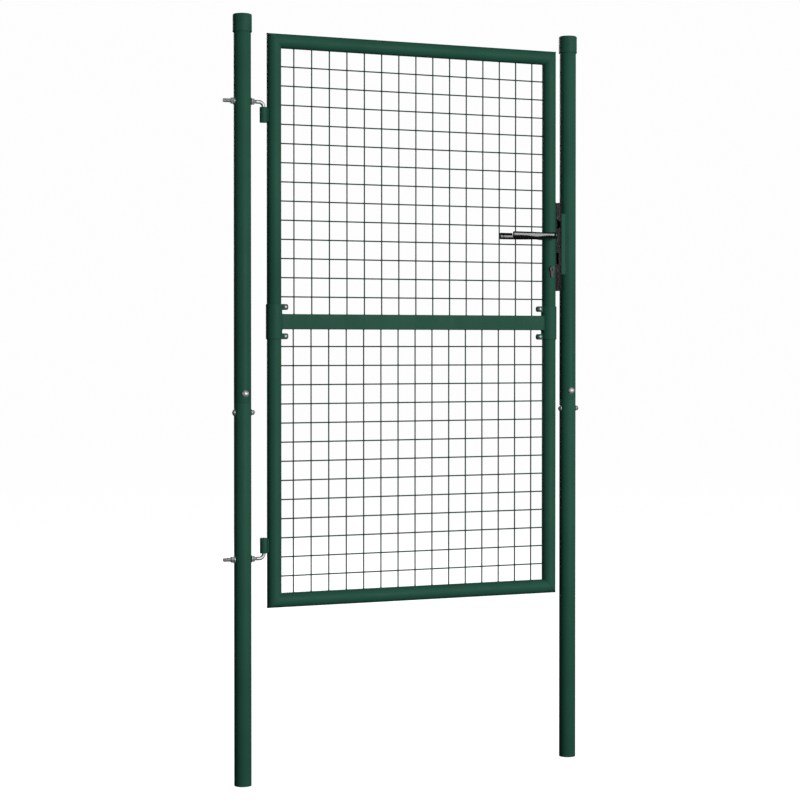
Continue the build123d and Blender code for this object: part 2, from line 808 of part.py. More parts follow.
with BuildPart() as cam:
    with BuildSketch(front_view(lock_x, cylinder_z)):
        Circle(cam_radius)
        with Locations(Location((0, 0), -30)):
            with Locations((12, 8), (-12, 8), (0, 20)):
                Rectangle(17, 40, mode=Mode.SUBTRACT)
        Circle(8.0)
    extrude(amount=cam_half, both=True)
save(cam, "cylinder_cam")

# ================================================================ lever handles
with BuildPart() as front_lever:
    with BuildSketch(front_view(lock_x, spindle_z).offset(lever_inner_y)):
        with BuildLine():
            Polyline(
                (0, -lever_hub_radius),
                (0, lever_hub_radius),
                (-lever_reach + 4, lever_tip_half),
                (-lever_reach, lever_tip_half - 4),
                (-lever_reach, -lever_tip_half + 4),
                (-lever_reach + 4, -lever_tip_half),
            )
            Spline(
                (-lever_reach + 4, -lever_tip_half),
                (lever_belly_x - 27, -lever_tip_half - 0.2),
                (lever_belly_x, -lever_belly),
                (lever_belly_x + 27, -lever_tip_half - 0.3),
                (0, -lever_hub_radius),
                tangents=((1, 0), (1, 0)),
            )
        make_face()
        Circle(lever_hub_radius)
    extrude(amount=lever_thickness)
    fillet(front_lever.faces().filter_by(Axis.Y).sort_by(Axis.Y)[0].edges(), 3.0)
    fillet(front_lever.faces().filter_by(Axis.Y).sort_by(Axis.Y)[-1].edges(), 2.0)
    with BuildSketch(front_view(lock_x, spindle_z).offset(lever_neck_end)):
        Circle(lever_neck_radius)
    extrude(amount=lever_inner_y - lever_neck_end + 1)
    with BuildSketch(front_view(lock_x, spindle_z).offset(lever_neck_end)):
        Rectangle(spindle_size + 0.1, spindle_size + 0.1)
    extrude(amount=spindle_half_length - lever_neck_end + 0.5, mode=Mode.SUBTRACT)
    grub_y = 28.0
    with BuildSketch(Plane((lock_x, -grub_y, spindle_z - 12))):
        Circle(2.5)
    extrude(amount=12, mode=Mode.SUBTRACT)
save(front_lever, "front_lever")

# the rear lever is the same casting turned half round, so its belly is on top
with BuildPart() as rear_lever:
    add(front_lever.part.rotate(Axis((lock_x, 0, spindle_z), (1, 0, 0)), 180))
save(rear_lever, "rear_lever")

with BuildPart() as grub_screws:
    for side in (-1, 1):
        head_z = spindle_z + side * (lever_neck_radius - 0.3)
        with BuildSketch(Plane(origin=(lock_x, side * grub_y, head_z), z_dir=(0, 0, -side))):
            Circle(2.48)
            RegularPolygon(1.25, 6, mode=Mode.SUBTRACT)
        extrude(amount=lever_neck_radius - 0.3 - spindle_size / 2)
save(grub_screws, "lever_grub_screws")

# ================================================================ strike on the latch post
latch_slot = (latch_low_z - 2.5, latch_high_z + 2.5)
dead_slot = (dead_low_z - 2.5, dead_high_z + 2.5)
strike_back_x = strike_face_x + strike_thickness
strike_screw_zs = (1351.0, 1434.0, 1500.0)

with BuildPart() as strike_box:
    half = strike_width / 2
    add_box((strike_back_x, post_spacing), (-half, half), (strike_box_low_z, strike_box_high_z))
    front_edges = strike_box.edges().filter_by(Axis.Z).sort_by(Axis.X)[:2]
    fillet(front_edges, 2.5)
    inside = half - strike_box_sheet
    add_box(
        (strike_back_x + strike_box_sheet, post_spacing + 1),
        (-inside, inside),
        (strike_box_low_z + strike_box_sheet, strike_box_high_z - strike_box_sheet),
        Mode.SUBTRACT,
    )
    cut_round(Plane((post_spacing, 0, strike_box_low_z)), post_radius, 300)
    web = (strike_back_x - 1, strike_back_x + strike_box_sheet + 1)
    wide = (-strike_opening_half - 1, strike_opening_half + 1)
    for low, high in (latch_slot, dead_slot):
        add_box(web, wide, (low - 1, high + 1), Mode.SUBTRACT)
    for screw_z in strike_screw_zs:
        cut_round(along_x(strike_back_x, 0, screw_z), 2.05, 4)
save(strike_box, "strike_box")

with BuildPart() as strike_plate:
    with BuildSketch(along_x(strike_face_x, 0, (strike_low_z + strike_high_z) / 2)):
        RectangleRounded(strike_width, strike_high_z - strike_low_z, 3.0)
    extrude(amount=strike_thickness)
    chamfer(strike_plate.faces().sort_by(Axis.X)[0].edges(), 0.5)
    through = (strike_face_x - 1, strike_back_x + 1)
    mouth = (-strike_opening_half, strike_opening_half)
    for low, high in (latch_slot, dead_slot):
        add_box(through, mouth, (low, high), Mode.SUBTRACT)
    for screw_z in strike_screw_zs:
        with Locations(Plane((strike_face_x, 0, screw_z), x_dir=(0, 1, 0), z_dir=(-1, 0, 0))):
            CounterSinkHole(2.1, 4.0, depth=strike_thickness + 1)
save(strike_plate, "strike_plate")

with BuildPart() as strike_screws:
    for screw_z in strike_screw_zs:
        with BuildSketch(Plane((strike_face_x, 0, screw_z), x_dir=(1, 0, 0), z_dir=(0, 1, 0))):
            with BuildLine():
                Polyline((0, 0), (8.0, 0), (6.5, 2.0), (1.9, 2.0), (0, 3.9), close=True)
            make_face()
        revolve(axis=Axis((strike_face_x, 0, screw_z), (1, 0, 0)))
        recess_x = (strike_face_x - 1, strike_face_x + 1.3)
        add_box(recess_x, (-0.5, 0.5), (screw_z - 2.1, screw_z + 2.1), Mode.SUBTRACT)
        add_box(recess_x, (-2.1, 2.1), (screw_z - 0.5, screw_z + 0.5), Mode.SUBTRACT)
save(strike_screws, "strike_screws")
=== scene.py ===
from math import asin, ceil, cos, exp, pi, radians, sin, sqrt, tan

import bmesh
import bpy
from mathutils import Matrix, Vector


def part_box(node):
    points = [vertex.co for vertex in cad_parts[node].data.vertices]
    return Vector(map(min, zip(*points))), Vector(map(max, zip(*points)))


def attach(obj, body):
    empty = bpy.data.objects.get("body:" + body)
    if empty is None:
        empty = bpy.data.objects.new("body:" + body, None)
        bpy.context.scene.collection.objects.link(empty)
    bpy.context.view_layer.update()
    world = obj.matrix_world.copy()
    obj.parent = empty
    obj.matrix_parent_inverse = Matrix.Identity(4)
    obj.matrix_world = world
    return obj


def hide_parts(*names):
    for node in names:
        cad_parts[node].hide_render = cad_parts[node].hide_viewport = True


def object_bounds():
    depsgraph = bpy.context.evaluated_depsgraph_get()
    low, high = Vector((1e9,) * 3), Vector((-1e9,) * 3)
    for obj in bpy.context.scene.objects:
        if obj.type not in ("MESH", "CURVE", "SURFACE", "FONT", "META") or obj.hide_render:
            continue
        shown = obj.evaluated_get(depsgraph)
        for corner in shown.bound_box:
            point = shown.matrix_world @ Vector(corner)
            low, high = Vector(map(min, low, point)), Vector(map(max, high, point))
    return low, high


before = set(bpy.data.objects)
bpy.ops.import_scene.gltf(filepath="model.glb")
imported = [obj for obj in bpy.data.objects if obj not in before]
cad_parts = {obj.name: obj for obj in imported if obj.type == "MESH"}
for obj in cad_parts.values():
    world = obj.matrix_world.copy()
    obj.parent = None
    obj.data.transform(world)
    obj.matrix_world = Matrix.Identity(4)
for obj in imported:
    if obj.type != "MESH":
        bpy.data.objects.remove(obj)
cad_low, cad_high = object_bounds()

MM = 0.001
X, Y, Z = Vector((1, 0, 0)), Vector((0, 1, 0)), Vector((0, 0, 1))


# ---------------------------------------------------------------- materials
class Nodes:
    """Short calls for building one material's node tree."""

    def __init__(self, material):
        self.tree = material.node_tree
        self.tree.nodes.clear()
        self.shader = self.add("ShaderNodeBsdfPrincipled")
        output = self.add("ShaderNodeOutputMaterial")
        self.join(self.shader.outputs[0], output.inputs["Surface"])
        self.place = self.add("ShaderNodeTexCoord").outputs["Object"]

    def add(self, kind):
        return self.tree.nodes.new(kind)

    def join(self, output, socket):
        self.tree.links.new(output, socket)

    def noise(self, scale, detail=3.0, rough=0.5, stretch=None, distortion=0.0):
        """Fractal noise per metre, drawn out along an axis where stretch is given."""
        node = self.add("ShaderNodeTexNoise")
        node.inputs["Scale"].default_value = scale
        node.inputs["Detail"].default_value = detail
        node.inputs["Roughness"].default_value = rough
        node.inputs["Distortion"].default_value = distortion
        self.join(self.stretched(stretch), node.inputs["Vector"])
        return node.outputs["Fac"]

    def cells(self, scale):
        """Flat-coloured patches, about scale of them to a metre."""
        node = self.add("ShaderNodeTexVoronoi")
        node.inputs["Scale"].default_value = scale
        self.join(self.place, node.inputs["Vector"])
        return node

    def stretched(self, factors):
        if factors is None:
            return self.place
        node = self.add("ShaderNodeMapping")
        node.inputs["Scale"].default_value = factors
        self.join(self.place, node.inputs["Vector"])
        return node.outputs["Vector"]

    def spread(self, value, low, high, to_low, to_high):
        """Map a value's range to another range, clamped."""
        node = self.add("ShaderNodeMapRange")
        limits = {"From Min": low, "From Max": high, "To Min": to_low, "To Max": to_high}
        for socket, number in limits.items():
            node.inputs[socket].default_value = number
        self.join(value, node.inputs["Value"])
        return node.outputs["Result"]

    def ramp(self, value, stops):
        """Colour ramp with stops of (place, colour)."""
        node = self.add("ShaderNodeValToRGB")
        while len(node.color_ramp.elements) < len(stops):
            node.color_ramp.elements.new(0.5)
        for element, (place, colour) in zip(node.color_ramp.elements, stops):
            element.position = place
            element.color = (*colour, 1)
        self.join(value, node.inputs["Fac"])
        return node.outputs["Color"]

    def blend(self, share, first, second):
        """Mix two colours by a share from 0 to 1."""
        node = self.add("ShaderNodeMix")
        node.data_type = "RGBA"
        self.join(share, node.inputs["Factor"])
        self.join(first, node.inputs["A"])
        self.join(second, node.inputs["B"])
        return node.outputs["Result"]

    def bump(self, height, distance, strength, below=None):
        node = self.add("ShaderNodeBump")
        node.inputs["Distance"].default_value = distance
        node.inputs["Strength"].default_value = strength
        self.join(height, node.inputs["Height"])
        if below is not None:
            self.join(below, node.inputs["Normal"])
        return node.outputs["Normal"]

    def set(self, **constants):
        for name, value in constants.items():
            self.shader.inputs[name.replace("_", " ")].default_value = value

    def finish(self, colour, roughness, normal):
        self.join(colour, self.shader.inputs["Base Color"])
        self.join(roughness, self.shader.inputs["Roughness"])
        self.join(normal, self.shader.inputs["Normal"])


def scaled(colour, factor):
    return tuple(channel * factor for channel in colour)


def new_nodes(name):
    material = bpy.data.materials.new(name)
    material.use_nodes = True
    return material, Nodes(material)


def powder_coat(name, colour, smooth, rough, peel=1.0, gloss=0.05):
    """Sprayed and baked coat: orange peel, slow tone drift, handling smudges and a few dust specks."""
    material, nodes = new_nodes(name)
    drift = nodes.noise(5.5, 3.0, 0.55)
    tone = nodes.ramp(drift, [(0.3, scaled(colour, 0.9)), (0.72, scaled(colour, 1.1))])
    dust = nodes.spread(nodes.noise(620, 2.0, 0.6), 0.68, 0.76, 0.0, 0.35)
    pale = nodes.ramp(drift, [(0.0, (0.045, 0.11, 0.085)), (1.0, (0.055, 0.12, 0.095))])
    colour_out = nodes.blend(dust, tone, pale)
    smudge = nodes.noise(28, 5.0, 0.62, (1, 1, 0.35), 0.4)
    roughness = nodes.spread(smudge, 0.32, 0.7, smooth, rough)
    waves = nodes.bump(nodes.noise(330, 2.0, 0.45), 0.00022 * peel, 0.5)
    grain = nodes.bump(nodes.noise(1500, 2.0, 0.6), 0.00004, 0.35, waves)
    nodes.set(Specular_IOR_Level=gloss)
    nodes.finish(colour_out, roughness, grain)
    return material


def moulded_plastic(name, colour, smooth, rough, gloss=0.5):
    """Injection moulded plastic: fine spark texture with faint flow marks."""
    material, nodes = new_nodes(name)
    flow = nodes.noise(30, 4.0, 0.6, (1, 1, 0.5), 0.8)
    tone = nodes.ramp(flow, [(0.25, scaled(colour, 0.88)), (0.75, scaled(colour, 1.14))])
    roughness = nodes.spread(nodes.noise(90, 4.0, 0.6), 0.3, 0.7, smooth, rough)
    texture = nodes.bump(nodes.noise(1900, 2.0, 0.55), 0.00006, 0.45)
    nodes.set(Specular_IOR_Level=gloss)
    nodes.finish(tone, roughness, texture)
    return material


def plated_steel(name, colour, smooth, rough, spangle=0.18, pits=0.35, metal=1.0):
    """Zinc or nickel plating: crystalline patches, dull stains, fine pits and scratches."""
    material, nodes = new_nodes(name)
    patch = nodes.ramp(
        nodes.cells(230).outputs["Color"],
        [(0.1, scaled(colour, 1.0 - spangle)), (0.9, scaled(colour, 1.0 + spangle))],
    )
    stain = nodes.spread(nodes.noise(75, 5.0, 0.65, None, 0.6), 0.5, 0.78, 0.0, 0.55)
    dull = nodes.ramp(stain, [(0.0, scaled(colour, 0.62)), (1.0, scaled(colour, 0.5))])
    colour_out = nodes.blend(stain, patch, dull)
    roughness = nodes.spread(nodes.noise(160, 5.0, 0.7), 0.3, 0.72, smooth, rough)
    scratches = nodes.bump(nodes.noise(420, 3.0, 0.6, (1, 1, 0.06)), 0.00005, pits)
    pitted = nodes.bump(nodes.noise(1300, 2.0, 0.6), 0.00005, pits, scratches)
    nodes.set(Metallic=metal)
    nodes.finish(colour_out, roughness, pitted)
    return material


green = (0.0165, 0.0745, 0.0485)
MATERIALS = {
    "green_coat": powder_coat("green_powder_coat", green, 0.46, 0.62),
    # the wires use the frame's own green coat darkened to 0.6 of its brightness: painted shade that stands in
    # for the shade on the thin wires
    "green_wire": powder_coat("green_wire_coat_painted_shade", scaled(green, 0.6), 0.5, 0.62, 0.5),
    "cap_plastic": moulded_plastic("green_cap_plastic", (0.0165, 0.071, 0.047), 0.45, 0.6, 0.06),
    "zinc": plated_steel("zinc_plating", (0.42, 0.43, 0.44), 0.4, 0.58, 0.12, 0.3, 0.7),
    "black_zinc": plated_steel("black_zinc_plating", (0.022, 0.022, 0.024), 0.34, 0.5, 0.1),
    "black_coat": powder_coat("black_powder_coat", (0.0095, 0.0095, 0.0102), 0.42, 0.56, 0.8),
    "black_gloss": moulded_plastic("black_glossy_plastic", (0.0075, 0.0075, 0.008), 0.09, 0.16, 0.5),
    "cylinder_metal": plated_steel("blackened_steel", (0.0095, 0.0095, 0.0105), 0.36, 0.5, 0.06, 0.35, 0.5),
    "bolt_metal": plated_steel("bright_nickel", (0.58, 0.57, 0.55), 0.22, 0.36, 0.05),
    "spring_steel": plated_steel("spring_steel", (0.36, 0.36, 0.37), 0.25, 0.4, 0.04),
}
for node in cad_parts.values():
    for material_slot in node.material_slots:
        material_slot.material = MATERIALS[material_slot.material.name.split(".")[0]]


# ---------------------------------------------------------------- mesh tools
DOT = 0.02 * MM  # radius of the ring that closes a turned end
SHARP = 38  # edges steeper than this, in degrees, stay crisp


def turned(origin, along, across):
    """A frame whose third axis runs along a piece and whose first axis points across it."""
    side = along.cross(across)
    return Matrix.Translation(origin) @ Matrix((across, side, along)).transposed().to_4x4()


def ring(place, radius, height, count=96):
    """A closed ring of points. radius may depend on the angle, and height on the point's (u, v)."""
    points = []
    for step in range(count):
        angle = 2 * pi * step / count
        reach = radius(angle) if callable(radius) else radius
        u, v = reach * cos(angle), reach * sin(angle)
        level = height(u, v) if callable(height) else height
        points.append(place @ Vector((u, v, level)))
    return points


def turned_rings(place, profile, count):
    """Rings for a profile of (radius, height) about the frame's third axis."""
    return [ring(place, radius, height, count) for radius, height in profile]


def raised(end, rise):
    """An end moved along the axis. An end is a height or a function of (u, v)."""
    return (lambda u, v: end(u, v) + rise) if callable(end) else end + rise


def closed_mesh(name, shape):
    """A mesh of a shape's skins, with all faces turned outwards."""
    mesh = bpy.data.meshes.new(name)
    mesh.from_pydata([tuple(point) for point in shape.points], [], shape.faces)
    work = bmesh.new()
    work.from_mesh(mesh)
    bmesh.ops.recalc_face_normals(work, faces=work.faces)
    work.to_mesh(mesh)
    work.free()
    return mesh


def linked(name, data):
    """A new object in the scene."""
    obj = bpy.data.objects.new(name, data)
    bpy.context.scene.collection.objects.link(obj)
    return obj


def smooth(mesh, sharp=SHARP):
    mesh.shade_smooth()
    mesh.set_sharp_from_angle(angle=radians(sharp))


class Shape:
    """Vertices and faces of one piece, built up from closed skins."""

    def __init__(self):
        self.points = []
        self.faces = []

    def skin(self, rings, loop=False):
        """Skin rings of equal length into a solid, capped at its ends or joined end to end."""
        count = len(rings[0])
        starts = [len(self.points) + index * count for index in range(len(rings))]
        for row in rings:
            self.points.extend(row)
        pairs = list(zip(starts, starts[1:]))
        if loop:
            pairs.append((starts[-1], starts[0]))
        for low, high in pairs:
            for step in range(count):
                after = (step + 1) % count
                self.faces.append([low + step, low + after, high + after, high + step])
        if not loop:
            self.faces.append([starts[0] + step for step in reversed(range(count))])
            self.faces.append([starts[-1] + step for step in range(count)])
        return self

    def turn(self, place, profile, count=64, loop=False):
        """Turn a profile of (radius, height) about the frame's third axis."""
        return self.skin(turned_rings(place, profile, count), loop)

    def tube(self, place, outer, wall, low, high, low_soft=0.0, high_soft=0.0, count=96):
        """A tube between two ends, each a height or a function of (u, v), with softened rims."""
        quarter_round = ((0.0, 1.0), (0.29, 0.29), (1.0, 0.0))
        bottom = (low, 1, low_soft)
        top = (high, -1, high_soft)
        rings = []
        for radius, shrink, first, second in ((outer, -1, bottom, top), (outer - wall, 1, top, bottom)):
            for (end, inward, soft), rim in ((first, quarter_round[::-1]), (second, quarter_round)):
                for across, along in rim if soft else ((0, 0),):
                    level = raised(end, inward * along * soft)
                    rings.append(ring(place, radius + shrink * across * soft, level, count))
        return self.skin(rings, loop=True)

    def bead(self, path, radius, closed=False, ripple=0.1, pitch=2.3 * MM, count=10):
        """A weld bead with ripples along a path of points. An open bead tapers at its ends."""
        taper = (0.35, 0.75, 0.93)
        rings = []
        number = len(path)
        travelled = 0.0
        normal = None
        for index, point in enumerate(path):
            before = path[index - 1] if index or closed else point
            after = path[(index + 1) % number] if index < number - 1 or closed else point
            tangent = (after - before).normalized()
            if normal is None:
                normal = tangent.orthogonal()
            normal = (normal - tangent * normal.dot(tangent)).normalized()
            if index:
                travelled += (point - path[index - 1]).length
            size = radius * (1 + ripple * sin(2 * pi * travelled / pitch))
            from_end = min(index, number - 1 - index)
            if not closed and from_end < len(taper):
                size *= taper[from_end]
            rings.append(ring(turned(point, tangent, normal), size, 0, count))
        return self.skin(rings, loop=closed)

    def make(self, name, body, slot, replaced=(), sharp=SHARP):
        """Finish the piece: a mesh with clean normals that rides on a body."""
        mesh = closed_mesh(name, self)
        obj = linked(name, mesh)
        mesh.materials.append(MATERIALS[slot])
        smooth(mesh, sharp)
        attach(obj, body)
        if replaced:
            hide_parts(*replaced)
        return obj


def cut(obj, cutter):
    """Cut a closed shape out of a piece."""
    tool = linked("cutter", closed_mesh("cutter", cutter))
    modifier = obj.modifiers.new("cut", "BOOLEAN")
    modifier.operation = "DIFFERENCE"
    modifier.solver = "EXACT"
    modifier.object = tool
    bpy.context.view_layer.update()
    graph = bpy.context.evaluated_depsgraph_get()
    result = bpy.data.meshes.new_from_object(obj.evaluated_get(graph))
    obj.modifiers.clear()
    result.name = obj.data.name
    obj.data = result
    smooth(result)
    bpy.data.objects.remove(tool)


def block(shape, low, high):
    """A block between two corners, as a closed skin."""
    outline = ((low.x, low.y), (high.x, low.y), (high.x, high.y), (low.x, high.y))
    return shape.skin([[Vector((x, y, z)) for x, y in outline] for z in (low.z, high.z)])


def rod(shape, start, along, across, radius, length, count=40):
    """A plain round rod from a point, to cut a hole with."""
    return shape.turn(turned(start, along, across), [(radius, 0), (radius, length)], count)


# ---------------------------------------------------------------- fasteners
def thread_radius(radius, depth, pitch, height):
    """The radius of a thread at each angle, at one height: sloped flanks, flat crest and root."""
    def at(angle):
        phase = (height / pitch - angle / (2 * pi)) % 1.0
        flank = abs(2 * phase - 1) * 1.35 - 0.15
        return radius - depth * min(1.0, max(0.0, flank))
    return at


def thread_rings(place, radius, depth, pitch, start, end, count):
    """Rings of a thread between two heights along the frame's axis."""
    rings_per_turn = 8
    number = ceil((end - start) / pitch * rings_per_turn)
    rings = []
    for index in range(number + 1):
        height = start + (end - start) * index / number
        rings.append(ring(place, thread_radius(radius, depth, pitch, height), height, count))
    return rings


def hex_radius(flats):
    """The outline of a hexagon with corners at multiples of 60 degrees."""
    return lambda angle: flats / 2 / cos(angle % (pi / 3) - pi / 6)


def hex_nut(shape, place, flats, bore, height, flange=0.0, flange_high=0.0):
    """A chamfered hexagon nut from the frame's origin, with a flange at its seat if one is given."""
    count = 72
    edge = flats / 2 * 0.965
    lead = 0.5 * MM
    lip = 0.35 * MM
    outline = hex_radius(flats)

    def fall(u, v):
        """How far the chamfer drops at a point outside its edge circle."""
        return max(0.0, sqrt(u * u + v * v) - edge) * tan(radians(30))

    def cone(u, v):
        """The flange's sloped top, which rises towards the hexagon."""
        return flange_high + (flange - lip - sqrt(u * u + v * v)) * tan(radians(38))

    profile = [(bore, lead), (bore + lead, 0)]
    if flange:
        profile += [(flange - lip, 0), (flange, lip), (flange, flange_high - lip)]
        profile += [(flange - lip, flange_high), (outline, cone)]
    else:
        profile += [(edge, 0), (outline, fall)]
    profile += [(outline, lambda u, v: height - fall(u, v)), (edge, height)]
    profile += [(bore + lead, height), (bore, height - lead)]
    return shape.turn(place, profile, count, loop=True)


def washer(shape, place, outer, bore, height):
    """A flat washer with softened edges, from the frame's origin."""
    soft = 0.25 * MM
    profile = [
        (bore, soft), (bore + soft, 0), (outer - soft, 0), (outer, soft),
        (outer, height - soft), (outer - soft, height), (bore + soft, height), (bore, height - soft),
    ]
    return shape.turn(place, profile, loop=True)


def domed_bolt(shape, place, shank, length, head, head_high, pitch, thread):
    """A domed bolt: the head grows back from the frame's origin and the shank runs along its axis."""
    count = 48
    soft = 0.3 * MM
    lead = 0.9 * MM
    side = 1.1 * MM
    crown = head_high - side
    sphere = (crown**2 + head**2) / (2 * crown)
    dome_steps = 8
    profile = []
    for step in range(dome_steps + 1):
        radius = max(DOT, head * sin(pi / 2 * step / dome_steps) * 0.985)
        rise = sqrt(sphere**2 - radius**2) - (sphere - crown)
        profile.append((radius, -side - rise))
    profile += [(head, -side), (head, -soft), (head - soft, 0), (shank, 0), (shank, length - thread)]
    depth = pitch * 0.42
    rings = turned_rings(place, profile, count)
    rings += thread_rings(place, shank, depth, pitch, length - thread, length - lead, count)
    rings += turned_rings(place, [(shank - depth - soft, length), (DOT, length)], count)
    return shape.skin(rings)


# ---------------------------------------------------------------- posts
wall = 1.5 * MM
rim = 0.4 * MM
post_tubes = {}
for post in ("hinge_post", "latch_post"):
    for part in ("lower_tube", "upper_tube"):
        node = f"{post}_{part}"
        low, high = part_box(node)
        post_x = (low.x + high.x) / 2
        post_radius = (high.x - low.x) / 2
        place = turned(Vector((post_x, 0, 0)), Z, X)
        tube = Shape().tube(place, post_radius, wall, low.z, high.z, rim, rim)
        post_tubes[node] = tube.make(f"{node}_fine", "posts", "green_coat", [node])
latch_post_x = post_x
post_axes = {"hinge_post": 0.0, "latch_post": latch_post_x}

# through bolts at the post joints: one from the front and one from the side in each post
splice_low, splice_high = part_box("post_splice_bolts")
splice_shank = 4.0 * MM
splice_head = 9.0 * MM
splice_pitch = 1.25 * MM
splice_thread = 5.2 * MM
splice_washer = 8.5 * MM
splice_washer_bore = 4.2 * MM
splice_washer_high = 1.6 * MM
splice_nut_flats = 13 * MM
splice_nut_bore = 3.6 * MM
splice_nut_high = 6.5 * MM
splice_head_high = -splice_low.y - post_radius
splice_length = splice_high.y + post_radius
front_z = splice_high.z - splice_head
side_z = splice_low.z + splice_head
bolts, washers, nuts = Shape(), Shape(), Shape()
for post_x in post_axes.values():
    for start, along, across in (
        (Vector((post_x, -post_radius, front_z)), Y, X),
        (Vector((post_x - post_radius, 0, side_z)), X, Y),
    ):
        place = turned(start, along, across)
        domed_bolt(bolts, place, splice_shank, splice_length, splice_head, splice_head_high,
                   splice_pitch, splice_thread)
        far_side = place @ Matrix.Translation((0, 0, 2 * post_radius))
        washer(washers, far_side, splice_washer, splice_washer_bore, splice_washer_high)
        seat = far_side @ Matrix.Translation((0, 0, splice_washer_high))
        hex_nut(nuts, seat, splice_nut_flats, splice_nut_bore, splice_nut_high)
bolts.make("post_splice_domed_bolts", "posts", "zinc", ["post_splice_bolts"])
washers.make("post_splice_plain_washers", "posts", "zinc", ["post_splice_washers"])
nuts.make("post_splice_hex_nuts", "posts", "zinc", ["post_splice_nuts"])

# push-over caps, with a shallow rim at the mouth and a faintly crowned top
for post in post_axes:
    low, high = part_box(f"{post}_cap")
    cap_radius = (high.x - low.x) / 2
    cap_high = high.z - low.z
    place = turned(Vector(((low.x + high.x) / 2, 0, low.z)), Z, X)
    mouth = post_radius + 0.12 * MM
    body = cap_radius - 0.3 * MM
    ceiling = cap_high - 3 * MM
    crown = 0.35 * MM
    edge = 3.6 * MM
    edge_steps = 8
    profile = [
        (DOT, ceiling), (mouth - 0.6 * MM, ceiling), (mouth, ceiling - 0.6 * MM),
        (mouth, 0.5 * MM), (mouth + 0.5 * MM, 0), (cap_radius - 0.9 * MM, 0),
        (cap_radius - 0.25 * MM, 0.25 * MM), (cap_radius, 0.9 * MM), (cap_radius, 3.2 * MM),
        (cap_radius - 0.1 * MM, 3.5 * MM), (body, 3.75 * MM),
    ]
    for step in range(edge_steps + 1):
        angle = pi / 2 * step / edge_steps
        profile.append((body - edge + edge * cos(angle), cap_high - crown - edge + edge * sin(angle)))
    for share in (0.66, 0.33, 0.12):
        profile.append((body * share, cap_high - crown * share**2))
    profile.append((DOT, cap_high))
    cap = Shape().turn(place, profile, 96)
    cap.make(f"{post}_moulded_cap", "posts", "cap_plastic", [f"{post}_cap"])

# ---------------------------------------------------------------- hinges
hook_radius = 5.0 * MM
hook_pitch = 1.5 * MM
hook_depth = 0.62 * MM
hook_core = hook_radius - hook_depth
hook_bend = 12.5 * MM
hook_nut_flats = 15 * MM
hook_flange = 10 * MM
hook_flange_rim = 1.6 * MM
hook_nut_low, hook_nut_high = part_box("hinge_hook_nuts")


def hinge_hook(node, turn):
    """A bent rod with a rolled thread at each side of the post and a plain pin, up for 1 and down for -1."""
    low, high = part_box(node)
    rod_z = low.z + hook_radius if turn > 0 else high.z - hook_radius
    pin_end = high.z if turn > 0 else low.z
    pin_x = high.x - hook_radius
    count = 40
    bend_steps = 12
    lead = 0.9 * MM
    into_nut = 2 * MM
    past_nut = 5.5 * MM
    runout = 0.5 * MM
    thread = (hook_radius, hook_depth, hook_pitch)
    axis = turned(Vector((0, 0, rod_z)), X, Y)
    rings = turned_rings(axis, [(DOT, low.x), (hook_core - 0.2 * MM, low.x)], count)
    rings += thread_rings(axis, *thread, low.x + lead, hook_nut_low.x + into_nut, count)
    inside = [hook_nut_low.x + into_nut + runout, hook_nut_high.x - into_nut - runout]
    rings += turned_rings(axis, [(hook_core, place_x) for place_x in inside], count)
    rings += thread_rings(axis, *thread, hook_nut_high.x - into_nut, hook_nut_high.x + past_nut, count)
    rings.append(ring(axis, hook_radius, hook_nut_high.x + past_nut + 0.7 * MM, count))
    centre = Vector((pin_x - hook_bend, 0, rod_z + turn * hook_bend))
    for step in range(bend_steps + 1):
        angle = pi / 2 * step / bend_steps
        out = X * sin(angle) - Z * turn * cos(angle)
        along = X * cos(angle) + Z * turn * sin(angle)
        rings.append(ring(turned(centre + out * hook_bend, along, Y), hook_radius, 0, count))
    pin = turned(Vector((pin_x, 0, pin_end)), Z * turn, Y)
    tip = [(hook_radius, -1 * MM), (hook_radius - 0.35 * MM, -0.35 * MM), (hook_radius - 1 * MM, 0)]
    rings += turned_rings(pin, tip + [(DOT, 0)], count)
    Shape().skin(rings).make(f"{node}_threaded", "posts", "zinc", [node])
    return rod_z


upper_rod_z = hinge_hook("upper_hinge_hook", -1)
lower_rod_z = hinge_hook("lower_hinge_hook", 1)

nuts = Shape()
for rod_z in (upper_rod_z, lower_rod_z):
    for side in (-1, 1):
        seat = turned(Vector((side * post_radius, 0, rod_z)), X * side, Y)
        hex_nut(nuts, seat, hook_nut_flats, hook_core, hook_nut_high.x - post_radius,
                hook_flange, hook_flange_rim)
nuts.make("hinge_hook_flange_nuts", "posts", "zinc", ["hinge_hook_nuts"])

